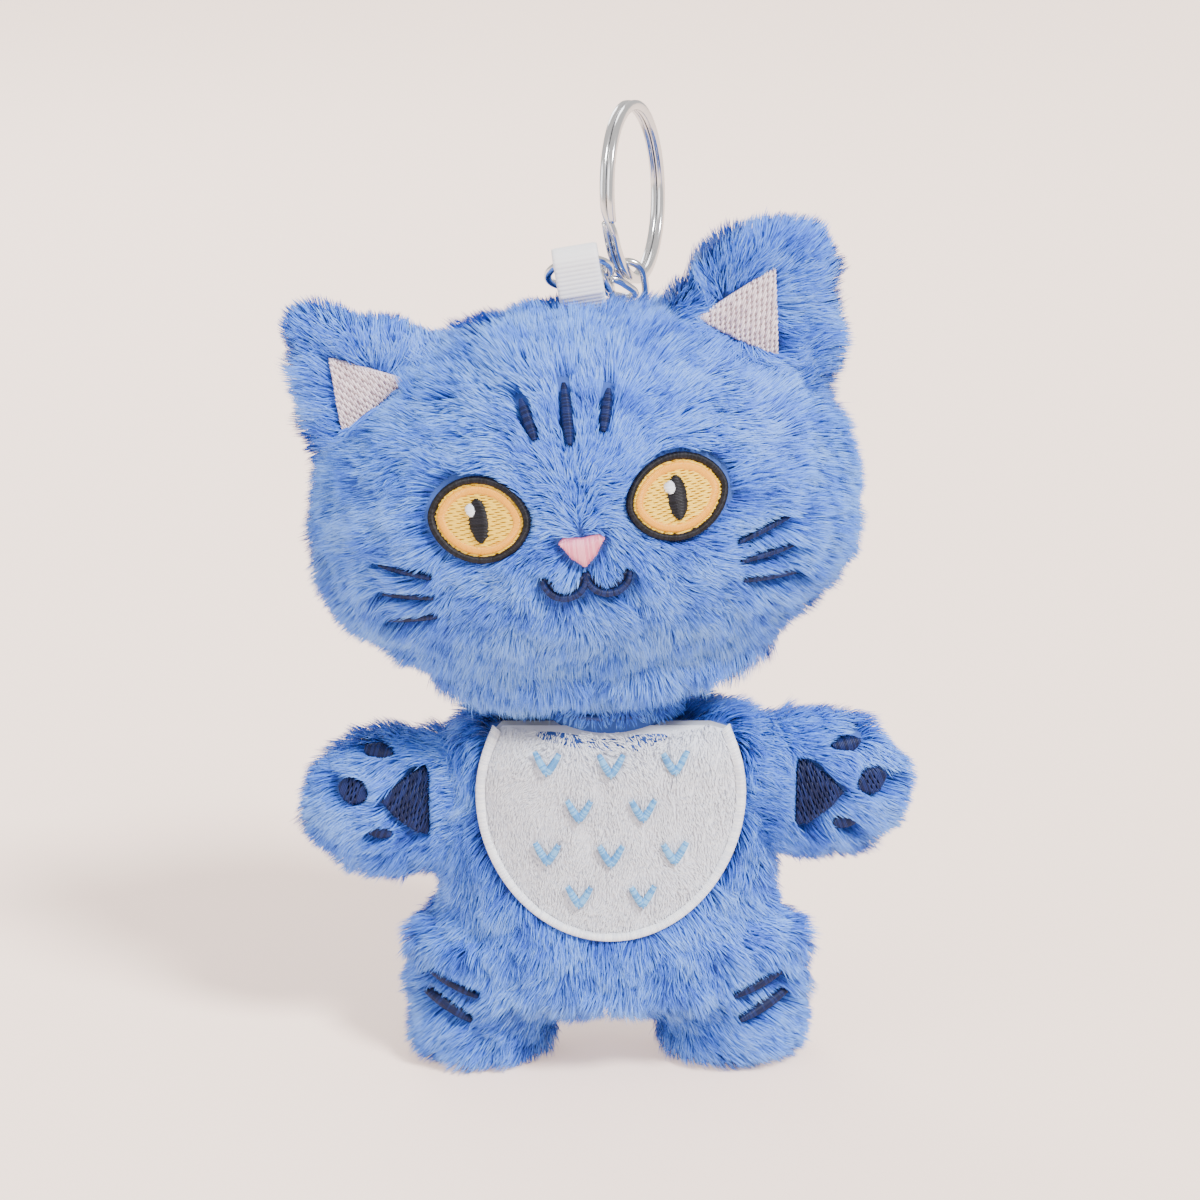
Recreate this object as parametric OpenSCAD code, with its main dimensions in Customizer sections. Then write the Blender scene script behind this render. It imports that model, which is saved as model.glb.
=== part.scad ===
// Plush cat keychain: a stuffed pile-fabric cat with a ribbon loop, a short chain and a split ring.
// Millimetres. +X is the cat's left side as seen by a viewer in front, -Y is its face, +Z is up.
// The origin is on the standing surface, midway between the soles and under the side seam.
// Every soft outline is the middle of the pile, so the pile tips stand about 1 mm proud of it.

/* [Head] */
// Width of the head across the cheeks
head_w = 68; // [60:1:72]
// Depth of the head from face to back
head_d = 44; // [38:1:48]
// Height of the crown above the middle of the head
head_h = 25.5; // [24:0.5:27]
// Depth of the chin seam below the middle of the head
chin_h = 22.3; // [21:0.1:23]
// Width of the flat chin
chin_w = 45; // [40:1:48]
// Height of the middle of the head above the standing surface
head_z = 74.6; // [74.4:0.1:76]
// Sideways lean of the head in the rest pose, in degrees
head_lean = 7; // [3:1:8]

/* [Torso and legs] */
// Width of the torso at the waist
torso_w = 44; // [40:1:46]
// Depth of the torso
torso_d = 26; // [24:1:28]
// Height of the torso's top seam above the standing surface
torso_top = 48.4; // [47:0.1:48.6]
// Height of the seam between torso and legs
hip_z = 15; // [13:0.5:17]
// Diameter of each leg
leg_d = 18.8; // [17:0.2:22]
// Distance of each leg's middle from the middle of the body
leg_x = 16; // [13:0.1:17]

/* [Arms] */
// Length of the free part of an arm, from its middle to its tip
arm_reach = 10.8; // [9:0.2:11]
// Height of an arm
arm_h = 18.6; // [16:0.2:19]
// Thickness of an arm
arm_t = 12; // [10:0.5:12.5]
// Height of the left shoulder
left_shoulder_z = 35.4; // [35:0.2:37]
// Height of the right shoulder
right_shoulder_z = 37.8; // [36:0.2:38]

/* [Fabric] */
// Thickness of the cover: backing cloth and the lower half of the pile
cover_t = 2; // [1.5:0.1:2.5]
// Thickness of the embroidery above the pressed pile
stitch_t = 0.6; // [0.4:0.1:0.8]

/* [Ribbon and chain] */
// Width of the grosgrain ribbon
ribbon_w = 5.7; // [5:0.1:6.5]
// Thickness of the ribbon
ribbon_t = 0.5; // [0.4:0.05:0.6]
// Height of the ribbon loop above the crown
ribbon_h = 7.4; // [7:0.1:8]
// Wire diameter of the jump ring
jump_wire = 1; // [0.8:0.1:1]
// Outer diameter of the jump ring
jump_od = 8.9; // [8.8:0.1:9.4]
// Wire diameter of a chain link
link_wire = 1; // [0.8:0.1:1]
// Outer diameter of the split ring
split_od = 23.4; // [22:0.2:25]
// Radial width of the split ring's flattened wire
split_radial = 1.3; // [1:0.1:1.5]
// Thickness of one turn of the split ring
split_turn = 0.9; // [0.8:0.1:1]

/* [Hidden] */
$fn = 64;
LEFT = -1;
RIGHT = 1;
FRONT = -1;
BACK = 1;
far = 80;
// Air between a cover and the stuffing behind it
fill_gap = 0.2;
// Air between a cover and the embroidery on it
stitch_gap = 0.05;
// Middle of the head; the chin stays over the neck when the head leans
head_x = -2.9;
// Roundness of the crown: 2 is an ellipse, more is squarer
crown_power = 2.05;
// Radius of the rounded edge under the chin
chin_r = 5;
// Middle of the neck, where the head nods and leans
neck = [0.2, 0, 50.3];
neck_r = 5.5;
// Air round a joint between two stuffed pieces
joint_gap = 0.35;
neck_thread_r = 8.5;
neck_thread_t = 0.8;
// Radius of the rounded shoulder edge of the torso
shoulder_r = 7;
// Rounded edge of the sole
sole_r = 3.5;
// Hip: the swelling that joins the legs to the torso
hip_size = [23.5, 12.4, 10];
hip_mid = 17;
// Shoulder: the rounded root of an arm, which turns in a socket in the torso
shoulder_x = 19;
shoulder_h = 18;
socket_grow = 1.1;
arm_x = 27.5;
arm_drop = 0.2;
belly_x = 0.6;
belly_z = 38.5;
belly_size = [17.4, 18.3];
belly_border_w = 0.9;
// Crown of the ribbon: where its two layers leave the seam, in the head's own frame
ribbon_x = 3.2;
ribbon_z = 25.75;
ribbon_lean = 2.5;
ribbon_gap = 3.2;
ribbon_tail = 6;
// Droop of the jump ring behind the ribbon, in degrees
jump_droop = 35;
// How far the jump ring's wire sits in front of the middle of the fold
jump_set = 0.72;
jump_r = (jump_od - jump_wire) / 2;
// A link is a slightly oval ring: radius of its round ends and length of its straight sides
link_r = 2.2;
link_side = 1.6;
// The chain runs down behind the jump ring, and its last link stands up into the split ring
link_1_mid = [-0.42, 6.04, 103.21];
link_1_way = [0.072, 0.978, -0.198];
link_1_normal = [-0.907, -0.018, -0.42];
link_2_mid = [1.02, 9.8, 100.76];
link_2_way = [0.631, 0.573, -0.523];
link_2_normal = [-0.215, -0.519, -0.827];
link_3_mid = [2.74, 10.56, 101.08];
link_3_way = [-0.132, -0.175, 0.976];
link_3_normal = [0.02, 0.984, 0.179];
split_mid = [3.44, 14.68, 112.18];
split_normal = [0.952, -0.298, 0.061];

function unit(v) = v / norm(v);
function along(v, n) = unit(v - n * (v * n));

// Moves a shape so that its own Z lies along z_axis and its X as nearly as it can along x_axis
module oriented(origin, x_axis, z_axis) {
  z = unit(z_axis);
  x = along(x_axis, z);
  y = cross(z, x);
  multmatrix([
    [x.x, y.x, z.x, origin.x],
    [x.y, y.y, z.y, origin.y],
    [x.z, y.z, z.z, origin.z],
    [0, 0, 0, 1]
  ]) children();
}

module in_head() {
  translate([head_x, 0, head_z]) rotate([0, -head_lean, 0]) children();
}

// The half space in front of (FRONT) or behind (BACK) the side seam
module side_of_seam(side) {
  translate([-far, side > 0 ? 0 : -2 * far, -2 * far]) cube([2 * far, 2 * far, 4 * far]);
}

module ellipsoid(size) {
  scale(size / 10) sphere(r = 10);
}

// The part of a shape on one side of the side seam
module half_of(side) {
  intersection() {
    children();
    side_of_seam(side);
  }
}

// ---------------------------------------------------------------- head

// Half width of the head below its middle: full cheeks that narrow to the chin
function cheek(w, chin, t) = chin + (w - chin) * cos(90 * pow(t, 1.5));

function head_profile(w, up, low, chin, r, steps = 7) = concat(
  [[0, -low]],
  [for (i = [0:2]) [chin - r + r * sin(45 * i), -low + r - r * cos(45 * i)]],
  [for (i = [1:steps - 1]) let (z = -(low - r) * (1 - i / steps)) [cheek(w, chin, -z / (low - r)), z]],
  [for (i = [0:steps - 1]) let (a = 90 * i / steps)
    [w * pow(1 - pow(sin(a), crown_power), 1 / crown_power), up * sin(a)]],
  [[0, up]]);

module head_shape(grow) {
  w = head_w / 2 + grow;
  scale([1, (head_d / 2 + grow) / w, 1])
    rotate_extrude($fn = 96)
      polygon(head_profile(w, head_h + grow, chin_h + grow, chin_w / 2 + grow, chin_r));
}

// What the head leaves free: the neck stuffing and the ribbon's tails
module head_openings(grow) {
  translate(neck) sphere(r = neck_r + joint_gap + grow);
  in_head() translate([ribbon_x, 0, ribbon_z - ribbon_tail])
    cube([ribbon_w + 0.4, 2 * ribbon_t + 0.4, 2 * ribbon_tail + 1], center = true);
}

module head_half(outer, inner, side) {
  difference() {
    in_head() half_of(side) difference() {
      head_shape(outer);
      head_shape(inner);
    }
    head_openings(0);
  }
}

module head_front_cover() {
  color("cornflowerblue") head_half(0, -cover_t, FRONT);
}

module head_back_cover() {
  color("cornflowerblue") head_half(0, -cover_t, BACK);
}

module head_stuffing() {
  color("white") difference() {
    in_head() for (side = [FRONT, BACK]) half_of(side) head_shape(-cover_t - fill_gap);
    head_openings(0.1);
  }
}

// ---------------------------------------------------------------- ears

// Points of a polygon with its corners rounded to radius r; corners run anticlockwise
function rounded(corners, r, steps = 5) = [
  for (i = [0:len(corners) - 1])
    let (
      here = corners[i],
      back = unit(corners[(i + len(corners) - 1) % len(corners)] - here),
      next = unit(corners[(i + 1) % len(corners)] - here),
      half = acos(back * next) / 2,
      mid = here + unit(back + next) * r[i] / sin(half),
      start = atan2((here + back * r[i] / tan(half) - mid).y, (here + back * r[i] / tan(half) - mid).x),
      turn = 180 - 2 * half
    )
    for (k = [0:steps]) mid + r[i] * [cos(start + turn * k / steps), sin(start + turn * k / steps)]
];

// Outline of each ear in the head's frame: root by the crown, tip, root by the cheek
left_ear = [[-11.7, 22.5], [-34.5, 32.5], [-32.5, 8]];
right_ear = [[32.5, 9.5], [35.5, 31.5], [22.5, 34.5], [9.8, 23]];
left_lining = [[-19.2, 19.8], [-28.9, 23.8], [-28.6, 13.7]];
right_lining = [[26.5, 16.8], [27.4, 28.5], [16.5, 23.1]];
left_ear_round = [1, 5.5, 1];
right_ear_round = [1, 5.5, 5, 1];
ear_t = 8.5;
ear_lens = 22;
// The middle of an ear lies a little in front of the side seam
ear_y = -2;

module ear_lens(mid, grow) {
  translate([mid.x, 0, mid.y]) ellipsoid([ear_lens + grow, ear_t / 2 + grow, ear_lens + grow]);
}

module outline_prism(points) {
  rotate([90, 0, 0]) linear_extrude(height = far, center = true) polygon(points);
}

left_ear_mid = [-25, 18];
right_ear_mid = [25, 20];

module ear_half(points, round, mid, side) {
  in_head() difference() {
    translate([0, ear_y, 0]) half_of(side) intersection() {
      ear_lens(mid, 0);
      outline_prism(rounded(points, round));
    }
    head_shape(0.1);
  }
}

module ear_lining(points, mid) {
  in_head() difference() {
    translate([0, ear_y, 0]) half_of(FRONT) difference() {
      intersection() {
        ear_lens(mid, stitch_t);
        outline_prism(rounded(points, [0.8, 0.8, 0.8]));
      }
      ear_lens(mid, stitch_gap);
    }
    head_shape(0.1);
  }
}

module left_ear_front() { color("cornflowerblue") ear_half(left_ear, left_ear_round, left_ear_mid, FRONT); }
module left_ear_back() { color("cornflowerblue") ear_half(left_ear, left_ear_round, left_ear_mid, BACK); }
module right_ear_front() {
  color("cornflowerblue") ear_half(right_ear, right_ear_round, right_ear_mid, FRONT);
}
module right_ear_back() { color("cornflowerblue") ear_half(right_ear, right_ear_round, right_ear_mid, BACK); }
module left_ear_lining() { color("lavenderblush") ear_lining(left_lining, left_ear_mid); }
module right_ear_lining() { color("lavenderblush") ear_lining(right_lining, right_ear_mid); }

// ---------------------------------------------------------------- face

eye_x = 12.2;
eye_z = 4.6;
eye_size = [5.9, 4.9];
nose_z = -0.6;
mouth_z = -3.4;
whisker_l = 6.5;

// Embroidery on the face: the part of a thin skin over the head that lies behind the child outline
module face_stitches() {
  in_head() intersection() {
    difference() {
      head_shape(stitch_t);
      head_shape(stitch_gap);
    }
    translate([0, -far / 2, 0]) rotate([90, 0, 0]) linear_extrude(height = far, center = true) children();
  }
}

module eye(side) {
  face_stitches() translate([side * eye_x, eye_z]) scale([eye_size.x / eye_size.y, 1]) circle(r = eye_size.y);
}

// A straight run of satin stitch from a to b
module stitch_line(a, b, w) {
  d = b - a;
  translate(a) rotate(atan2(d.y, d.x)) translate([0, -w / 2]) square([norm(d), w]);
}

module left_eye() { color("goldenrod") eye(LEFT); }
module right_eye() { color("goldenrod") eye(RIGHT); }

module nose() {
  color("pink") face_stitches() polygon([[-2.8, nose_z + 1.6], [0, nose_z - 1.8], [2.8, nose_z + 1.6]]);
}

module mouth() {
  color("midnightblue") face_stitches() {
    for (side = [LEFT, RIGHT]) intersection() {
      translate([side * 2.7, mouth_z]) difference() {
        circle(r = 3.1);
        circle(r = 2.3);
      }
      translate([-far, mouth_z - far]) square([2 * far, far]);
    }
  }
}

module whiskers() {
  color("midnightblue") face_stitches()
    for (side = [LEFT, RIGHT], row = [-1:1])
      stitch_line([side * 19, -5 + row * 2.6], [side * (19 + whisker_l), -4.7 + row * 3.8], 0.7);
}

module forehead_stripes() {
  color("midnightblue") face_stitches()
    for (column = [-1:1])
      stitch_line([column * 4.2, 12.5 + abs(column)], [column * 5.4, 19.2 - 1.2 * abs(column)], 1.1);
}

// ---------------------------------------------------------------- neck

module neck_stuffing() {
  color("white") translate(neck) sphere(r = neck_r);
}

module neck_thread() {
  color("royalblue") translate([0, 0, torso_top + neck_thread_t / 2])
    rotate_extrude() translate([neck_thread_r, 0]) circle(d = neck_thread_t);
}

// ---------------------------------------------------------------- torso

function torso_profile(w, top, r, steps = 5) = concat(
  [[0, hip_z], [w, hip_z]],
  [for (i = [0:steps]) let (a = 90 * i / steps) [w - r + r * cos(a), top - r + r * sin(a)]],
  [[0, top]]);

module torso_shape(grow) {
  w = torso_w / 2 + grow;
  scale([1, (torso_d / 2 + grow) / w, 1])
    rotate_extrude($fn = 96) polygon(torso_profile(w, torso_top + grow, shoulder_r));
}

function shoulder_z(side) = side < 0 ? left_shoulder_z : right_shoulder_z;

module shoulder_shape(side, grow) {
  translate([side * shoulder_x, 0, shoulder_z(side)])
    ellipsoid([shoulder_h / 2 + grow, arm_t / 2 + grow, shoulder_h / 2 + grow]);
}

// What the torso leaves free: the neck stuffing and the roots of the arms
module torso_openings(grow) {
  translate(neck) sphere(r = neck_r + joint_gap + grow);
  for (side = [LEFT, RIGHT]) shoulder_shape(side, socket_grow + grow);
}

module torso_half(side) {
  difference() {
    half_of(side) difference() {
      torso_shape(0);
      torso_shape(-cover_t);
    }
    torso_openings(0);
  }
}

module torso_front_cover() { color("cornflowerblue") torso_half(FRONT); }
module torso_back_cover() { color("cornflowerblue") torso_half(BACK); }

module torso_stuffing() {
  color("white") difference() {
    for (side = [FRONT, BACK]) half_of(side) torso_shape(-cover_t - fill_gap);
    torso_openings(0.1);
  }
}

// A thin skin over the torso's front, from inner to outer, where the child outline lies
module belly_skin(inner, outer) {
  difference() {
    intersection() {
      difference() {
        torso_shape(outer);
        torso_shape(inner);
      }
      translate([belly_x, -far / 2, belly_z]) rotate([90, 0, 0])
        linear_extrude(height = far, center = true) children();
      translate([-far, -2 * far, hip_z]) cube([2 * far, 2 * far, torso_top - hip_z]);
    }
    torso_openings(0);
  }
}

module belly_oval(grow) {
  scale([(belly_size.x + grow) / (belly_size.y + grow), 1]) circle(r = belly_size.y + grow);
}

module belly_patch() {
  color("white") belly_skin(stitch_gap, stitch_t) belly_oval(-belly_border_w);
}

module belly_border() {
  color("whitesmoke") for (side = [LEFT, RIGHT]) belly_skin(stitch_gap, stitch_t + 0.3) intersection() {
    difference() {
      belly_oval(0);
      belly_oval(0.03 - belly_border_w);
    }
    translate([side > 0 ? 0 : -far, -far]) square([far, 2 * far]);
  }
}

// Two slanted stitches that meet at the bottom
module tick(size) {
  for (side = [LEFT, RIGHT]) stitch_line([0, -size / 2], [side * size * 0.6, size / 2], 0.7);
}

belly_rows = [[3, 5.4], [2, -0.6], [3, -6.6], [2, -12.2]];
belly_pitch = 8.2;

module belly_marks() {
  color("lightskyblue") belly_skin(stitch_t + stitch_gap, stitch_t + 0.4)
    for (row = belly_rows, i = [0:row[0] - 1])
      translate([(i - (row[0] - 1) / 2) * belly_pitch, row[1]]) tick(2.6);
}

// ---------------------------------------------------------------- arms

module arm_shape(side, grow) {
  shoulder_shape(side, grow);
  translate([side * arm_x, 0, shoulder_z(side) - arm_drop])
    ellipsoid([arm_reach + grow, arm_t / 2 + grow, arm_h / 2 + grow]);
}

module arm_half(side, depth) {
  half_of(depth) difference() {
    union() arm_shape(side, 0);
    union() arm_shape(side, -cover_t);
  }
}

module left_arm_front_cover() { color("cornflowerblue") arm_half(LEFT, FRONT); }
module left_arm_back_cover() { color("cornflowerblue") arm_half(LEFT, BACK); }
module left_arm_stuffing() { color("white") arm_shape(LEFT, -cover_t - fill_gap); }
module right_arm_front_cover() { color("cornflowerblue") arm_half(RIGHT, FRONT); }
module right_arm_back_cover() { color("cornflowerblue") arm_half(RIGHT, BACK); }
module right_arm_stuffing() { color("white") arm_shape(RIGHT, -cover_t - fill_gap); }

// Corners of the main pad, and middle and half size of each toe pad, from the middle of the arm
main_pad = [[3.1, 0.2], [-2.9, 5], [-2.9, -4.7]];
toe_pads = [[3.4, 6.4, 1.9, 1], [6.8, 1.4, 1.9, 1.9], [3.3, -4.2, 1.5, 0.95]];
// How far the left arm's pads sit inwards and up
left_pad_shift = [-1.6, 1.2];

// One main pad and three toe pads, on the front of the free part of the arm
module paw_pads(side) {
  intersection() {
    difference() {
      union() arm_shape(side, stitch_t);
      union() arm_shape(side, stitch_gap);
    }
    translate([side * arm_x, -far / 2, shoulder_z(side) - arm_drop]) rotate([90, 0, 0])
      linear_extrude(height = far, center = true) mirror([side < 0 ? 1 : 0, 0])
      translate(side < 0 ? left_pad_shift : [0, 0]) {
        polygon(rounded(main_pad, [1, 1.4, 1]));
        for (pad = toe_pads) translate([pad[0], pad[1]]) scale([pad[2], pad[3]]) circle(r = 1);
      }
  }
}

module left_paw_pads() { color("midnightblue") paw_pads(LEFT); }
module right_paw_pads() { color("midnightblue") paw_pads(RIGHT); }

// ---------------------------------------------------------------- legs

function leg_profile(r, bottom, top) = concat(
  [[0, bottom]],
  [for (i = [0:4]) let (a = 22.5 * i) [r - sole_r + sole_r * sin(a), bottom + sole_r - sole_r * cos(a)]],
  [[r, top - 4], [r - 1.2, top], [0, top]]);

module leg_shape(side, grow) {
  translate([side * leg_x, 0, 0]) rotate_extrude($fn = 64)
    polygon(leg_profile(leg_d / 2 + grow, -grow, hip_z + 1));
  translate([0, 0, hip_mid]) ellipsoid(hip_size + [grow, grow, grow]);
}

// The quarter or half space of one leg, below the hip seam
module leg_room(side, depths = [FRONT, BACK]) {
  low = min(depths) < 0 ? -far : 0;
  high = max(depths) > 0 ? far : 0;
  translate([side > 0 ? 0 : -far, low, -1]) cube([far, high - low, hip_z + 1]);
}

module leg_half(side, depth) {
  intersection() {
    difference() {
      union() leg_shape(side, 0);
      union() leg_shape(side, -cover_t);
    }
    leg_room(side, [depth]);
  }
}

module leg_stuffing(side) {
  intersection() {
    union() leg_shape(side, -cover_t - fill_gap);
    leg_room(side);
  }
}

module left_leg_front_cover() { color("cornflowerblue") leg_half(LEFT, FRONT); }
module left_leg_back_cover() { color("cornflowerblue") leg_half(LEFT, BACK); }
module left_leg_stuffing() { color("white") leg_stuffing(LEFT); }
module right_leg_front_cover() { color("cornflowerblue") leg_half(RIGHT, FRONT); }
module right_leg_back_cover() { color("cornflowerblue") leg_half(RIGHT, BACK); }
module right_leg_stuffing() { color("white") leg_stuffing(RIGHT); }

// Two slanted satin stripes on the outer front of a leg
module leg_stripes(side) {
  intersection() {
    difference() {
      union() leg_shape(side, stitch_t);
      union() leg_shape(side, stitch_gap);
    }
    leg_room(side, [FRONT]);
    translate([0, -far / 2, 0]) rotate([90, 0, 0]) linear_extrude(height = far, center = true)
      for (row = [0, 1])
        stitch_line([side * (22.8 + 0.8 * row), 13.6 - 3.1 * row],
                    [side * (16.6 + 0.8 * row), 11.2 - 3.4 * row], 1);
  }
}

module left_leg_stripes() { color("midnightblue") leg_stripes(LEFT); }
module right_leg_stripes() { color("midnightblue") leg_stripes(RIGHT); }

// ---------------------------------------------------------------- ribbon and metal

module in_ribbon() {
  in_head() translate([ribbon_x, 0, ribbon_z]) rotate([0, -ribbon_lean, 0]) children();
}

// Height of the middle of the ribbon's fold above the crown
fold_r = ribbon_gap / 2 + ribbon_t;
fold_z = ribbon_h - fold_r;

// Half of a loop's outline: straight from the seam, then round the fold
function loop_half(r, foot, steps = 12) = concat(
  [[foot, 0.25]],
  [for (i = [0:steps]) let (a = 90 * i / steps) [r * cos(a), fold_z + r * sin(a)]]);
function mirrored(points) = [for (i = [len(points) - 1:-1:0]) [-points[i].x, points[i].y]];
function loop(r, foot) = concat(loop_half(r, foot), mirrored(loop_half(r, foot)));

module ribbon_loop() {
  color("white") in_ribbon() rotate([90, 0, 90]) linear_extrude(height = ribbon_w, center = true)
    difference() {
      polygon(loop(fold_r, ribbon_t + 0.1));
      polygon(loop(fold_r - ribbon_t, 0.1));
    }
}

module ribbon_anchor() {
  color("white") in_head() translate([ribbon_x, 0, ribbon_z - ribbon_tail / 2 - 0.9])
    cube([ribbon_w, 2 * ribbon_t, ribbon_tail], center = true);
}

// Middle of the ribbon's fold, where the jump ring turns
module in_fold() {
  in_ribbon() translate([0, 0, fold_z]) rotate([-jump_droop, 0, 0]) children();
}

module jump_ring() {
  color("silver") in_fold() translate([0, jump_r - jump_set, 0])
    rotate_extrude($fn = 48) translate([jump_r, 0]) circle(d = jump_wire, $fn = 24);
}

module chain_link(origin, x_axis, z_axis) {
  color("silver") oriented(origin, x_axis, z_axis) {
    for (end = [LEFT, RIGHT])
      translate([end * link_side / 2, 0, 0]) rotate([0, 0, end * 90 - 180])
        rotate_extrude(angle = 180, $fn = 48) translate([link_r, 0]) circle(d = link_wire, $fn = 24);
    for (end = [LEFT, RIGHT])
      translate([0, end * link_r, 0]) rotate([0, 90, 0])
        cylinder(d = link_wire, h = link_side, center = true, $fn = 24);
  }
}

module link_1() { chain_link(link_1_mid, link_1_way, link_1_normal); }
module link_2() { chain_link(link_2_mid, link_2_way, link_2_normal); }
module link_3() { chain_link(link_3_mid, link_3_way, link_3_normal); }

module split_ring() {
  color("silver") oriented(split_mid, [0, 0, 1], split_normal)
    rotate_extrude($fn = 96) translate([split_od / 2 - split_radial, -split_turn])
      square([split_radial, 2 * split_turn]);
}

split_ring();
link_1();
link_2();
link_3();
jump_ring();
ribbon_loop();
ribbon_anchor();
head_front_cover();
head_back_cover();
head_stuffing();
left_ear_front();
left_ear_back();
left_ear_lining();
right_ear_front();
right_ear_back();
right_ear_lining();
left_eye();
right_eye();
nose();
mouth();
whiskers();
forehead_stripes();
neck_stuffing();
neck_thread();
torso_front_cover();
torso_back_cover();
torso_stuffing();
belly_patch();
belly_border();
belly_marks();
left_arm_front_cover();
left_arm_back_cover();
left_arm_stuffing();
left_paw_pads();
right_arm_front_cover();
right_arm_back_cover();
right_arm_stuffing();
right_paw_pads();
left_leg_front_cover();
left_leg_back_cover();
left_leg_stuffing();
left_leg_stripes();
right_leg_front_cover();
right_leg_back_cover();
right_leg_stuffing();
right_leg_stripes();
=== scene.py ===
"""Plush cat keychain: pile fabric, embroidery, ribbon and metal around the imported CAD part.

Shapes are worked out in millimetres, in the part's own frame, and turned into metres when a mesh is made.
"""
import math

import bpy
import numpy as np
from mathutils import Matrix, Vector, kdtree


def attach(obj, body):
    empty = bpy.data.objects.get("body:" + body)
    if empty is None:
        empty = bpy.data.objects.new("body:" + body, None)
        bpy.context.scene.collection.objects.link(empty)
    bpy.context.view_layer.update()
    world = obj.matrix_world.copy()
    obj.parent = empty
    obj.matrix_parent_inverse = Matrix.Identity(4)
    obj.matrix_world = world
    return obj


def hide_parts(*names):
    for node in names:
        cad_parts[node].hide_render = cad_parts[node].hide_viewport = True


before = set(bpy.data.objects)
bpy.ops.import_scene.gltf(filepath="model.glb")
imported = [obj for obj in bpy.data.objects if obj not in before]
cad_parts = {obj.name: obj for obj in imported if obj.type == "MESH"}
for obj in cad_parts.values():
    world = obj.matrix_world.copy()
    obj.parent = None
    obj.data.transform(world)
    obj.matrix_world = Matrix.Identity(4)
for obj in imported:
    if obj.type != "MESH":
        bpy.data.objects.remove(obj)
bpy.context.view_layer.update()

MM = 0.001
rng = np.random.default_rng(20)
TURN = 2 * math.pi
LEFT, RIGHT = -1, 1
BOTH = (LEFT, RIGHT)

# Sizes in millimetres, as in the CAD part
HEAD_MID = np.array([-2.9, 0.0, 74.6])
HEAD_LEAN = math.radians(7)
HEAD_W, HEAD_D, HEAD_H, CHIN_H = 34.0, 22.0, 25.5, 22.3
CHIN_W, CHIN_R, CROWN_POWER = 22.5, 5.0, 2.05
TORSO_W, TORSO_D, TORSO_TOP, SHOULDER_R, HIP_Z = 22.0, 13.0, 48.4, 7.0, 15.0
HIP_SIZE, HIP_MID = np.array([23.5, 12.4, 10.0]), 17.0
LEG_R, LEG_X, SOLE_R = 9.4, 16.0, 3.5
ARM_SIZE, ARM_X = np.array([10.8, 6.0, 9.3]), 27.5
SHOULDER_SIZE, SHOULDER_X = np.array([9.0, 6.0, 9.0]), 19.0
SHOULDER_Z = {LEFT: 35.4, RIGHT: 37.8}
ARM_DROP = 0.2
EAR_LENS, EAR_Y = np.array([22.0, 4.25, 22.0]), -2.0
LEFT_EAR = [[-11.7, 22.5], [-34.5, 32.5], [-32.5, 8]]
RIGHT_EAR = [[32.5, 9.5], [35.5, 31.5], [22.5, 34.5], [9.8, 23]]
LEFT_LINING = [[-19.2, 19.8], [-28.9, 23.8], [-28.6, 13.7]]
RIGHT_LINING = [[26.5, 16.8], [27.4, 28.5], [16.5, 23.1]]
EAR_MID = {LEFT: (-25.0, 18.0), RIGHT: (25.0, 20.0)}
BELLY_X, BELLY_Z, BELLY_HALF, BELLY_TOP, BELLY_INSET = 0.6, 38.5, (17.4, 18.3), 48.4, 1.6
BELLY_ROWS = ((3, 5.4), (2, -0.6), (3, -6.6), (2, -12.2))
SIDES = ((LEFT, "left"), (RIGHT, "right"))
# How far the pile may reach over the edge of an ear lining, and of the belly's border
LINING_COVER, BORDER_COVER = 0.4, 0.6
SWELL_CAP = 0.4     # the simulated cloth moves by no more than this, so it stays under the embroidery
SKIN_DEPTH = 1.75   # the backing cloth lies this far under the middle of the pile


# ---- small helpers ----

def unit(v):
    return v / np.maximum(np.linalg.norm(v, axis=-1, keepdims=True), 1e-9)


def rot_y(points, angle):
    c, s = math.cos(angle), math.sin(angle)
    p = np.asarray(points, float)
    return np.stack([p[..., 0] * c + p[..., 2] * s, p[..., 1], -p[..., 0] * s + p[..., 2] * c], -1)


def head_to_world(p):
    return rot_y(p, -HEAD_LEAN) + HEAD_MID


def world_to_head(p):
    return rot_y(np.asarray(p, float) - HEAD_MID, HEAD_LEAN)


def head_dir(v):
    return rot_y(v, -HEAD_LEAN)


def noise(p, scale, seed):
    """Smooth noise from about -1 to 1: a few sine waves in directions set by the seed."""
    r = np.random.default_rng(seed)
    out = np.zeros(len(p))
    for _ in range(7):
        k = unit(r.normal(size=3)) * (TURN / scale) * r.uniform(0.6, 1.5)
        out += np.sin(p @ k + r.uniform(0, TURN))
    return out / 2.6


def smooth_step(t):
    t = np.clip(t, 0, 1)
    return t * t * (3 - 2 * t)


def new_mesh(name, verts, starts, corners, material_index=None):
    """A mesh from vertices in millimetres, where each face starts, and all corners in one run."""
    me = bpy.data.meshes.new(name)
    me.vertices.add(len(verts))
    me.vertices.foreach_set("co", (np.asarray(verts, np.float32) * MM).ravel())
    me.loops.add(len(corners))
    me.loops.foreach_set("vertex_index", np.asarray(corners, np.int32))
    me.polygons.add(len(starts))
    me.polygons.foreach_set("loop_start", np.asarray(starts, np.int32))
    if material_index is not None:
        me.polygons.foreach_set("material_index", np.asarray(material_index, np.int32))
    me.polygons.foreach_set("use_smooth", np.ones(len(starts), bool))
    me.update(calc_edges=True)
    return me


def mesh_points(me):
    """A mesh's vertices in millimetres."""
    co = np.empty(len(me.vertices) * 3, np.float32)
    me.vertices.foreach_get("co", co)
    return co.reshape(-1, 3).astype(float) / MM


def new_object(name, data):
    ob = bpy.data.objects.new(name, data)
    bpy.context.scene.collection.objects.link(ob)
    return ob


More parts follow.
